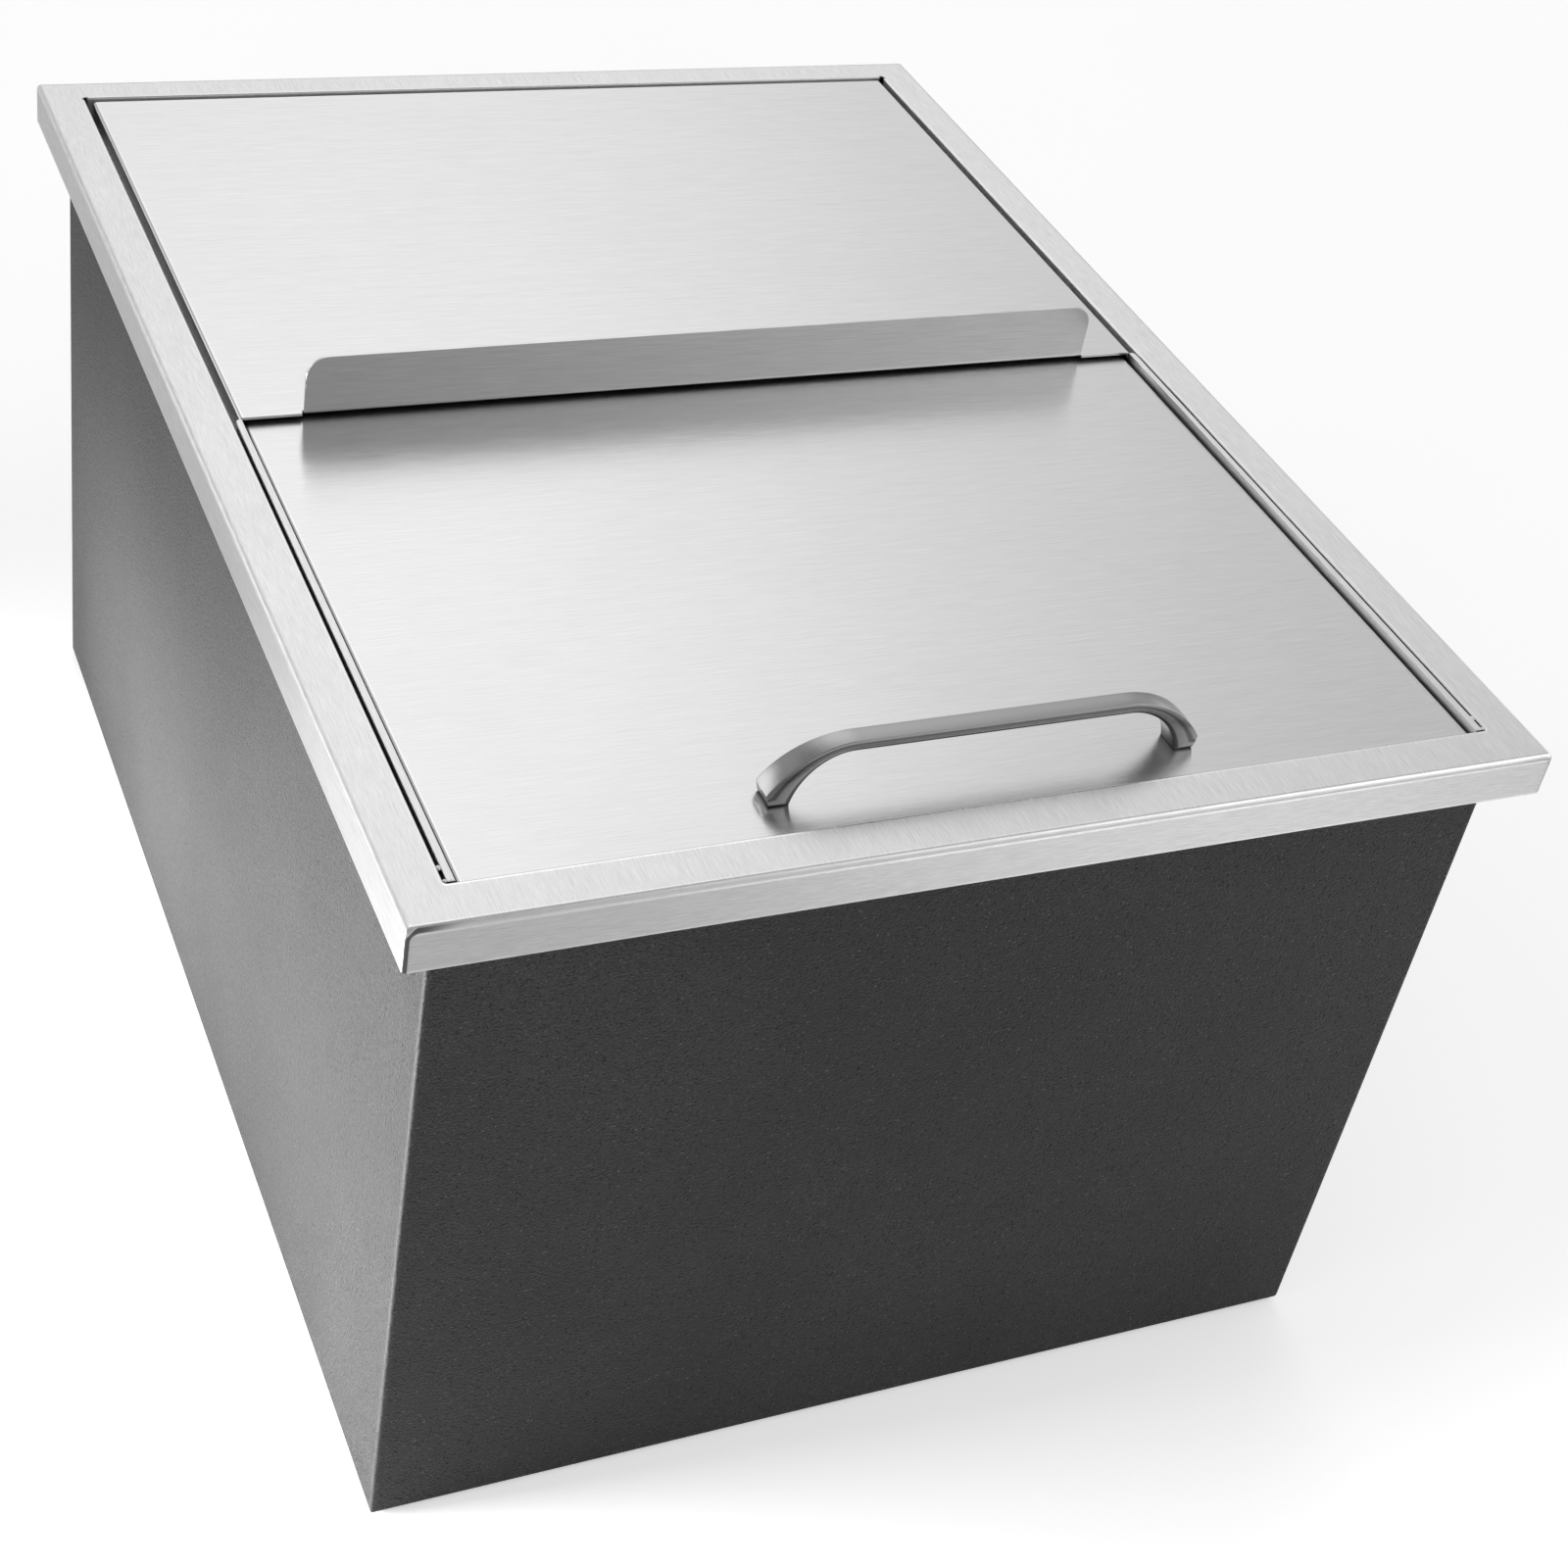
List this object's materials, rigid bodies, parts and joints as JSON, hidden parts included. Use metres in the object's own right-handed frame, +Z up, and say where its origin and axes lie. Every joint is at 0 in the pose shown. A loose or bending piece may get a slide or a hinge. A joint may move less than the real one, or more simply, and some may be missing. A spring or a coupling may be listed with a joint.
{
  "type": "drop in ice bin",
  "caption": "Insulated stainless ice bin that drops into a worktop cut-out, with a rim, a sliding front lid with a bow handle, a lift-off rear lid and a drained tub.",
  "frame": {"origin": "centre of the rim, in the plane of its underside, which is the top plane of the worktop it drops into", "axes": "+X to the right, +Y to the rear, +Z up; the handle is at the -Y front"},
  "size_m": [0.457, 0.61, 0.3934],
  "materials": {
    "stainless": "brushed stainless steel with a fine straight grain",
    "satin_nickel": "satin nickel plate",
    "dark_casing": "dark grey textured powder coat",
    "foam": "poured rigid foam",
    "rubber": "black moulded rubber",
    "fibre": "brown fibre washer",
    "brass": "plain turned brass",
    "fastener_steel": "bright zinc plate",
    "drain_steel": "turned and pressed stainless steel"
  },
  "bodies": {
    "bin_body": {"rim_frame": "stainless", "inner_tub": "stainless", "insulation": "foam", "outer_shell": "dark_casing", "guide_rail_left": "stainless", "guide_rail_right": "stainless", "drain_spigot": "drain_steel", "drain_strainer": "drain_steel", "strainer_screw": "fastener_steel", "drain_gasket": "rubber", "drain_washer": "fibre", "drain_locknut": "brass", "drain_grommet": "rubber"},
    "front_lid": {"front_lid": "stainless", "bar_handle": "satin_nickel", "handle_washer_left": "fastener_steel", "handle_washer_right": "fastener_steel", "handle_screw_left": "fastener_steel", "handle_screw_right": "fastener_steel"},
    "rear_lid": {"rear_lid": "stainless"}
  },
  "joints": [
    {"name": "front_lid_slide", "type": "slide", "parent": "bin_body", "child": "front_lid", "axis": [0, 1, 0], "range_m": [0, 0.2585]},
    {"name": "rear_lid_lift", "type": "slide", "parent": "bin_body", "child": "rear_lid", "axis": [0, 0, 1], "range_m": [0, 0.15]}
  ]
}
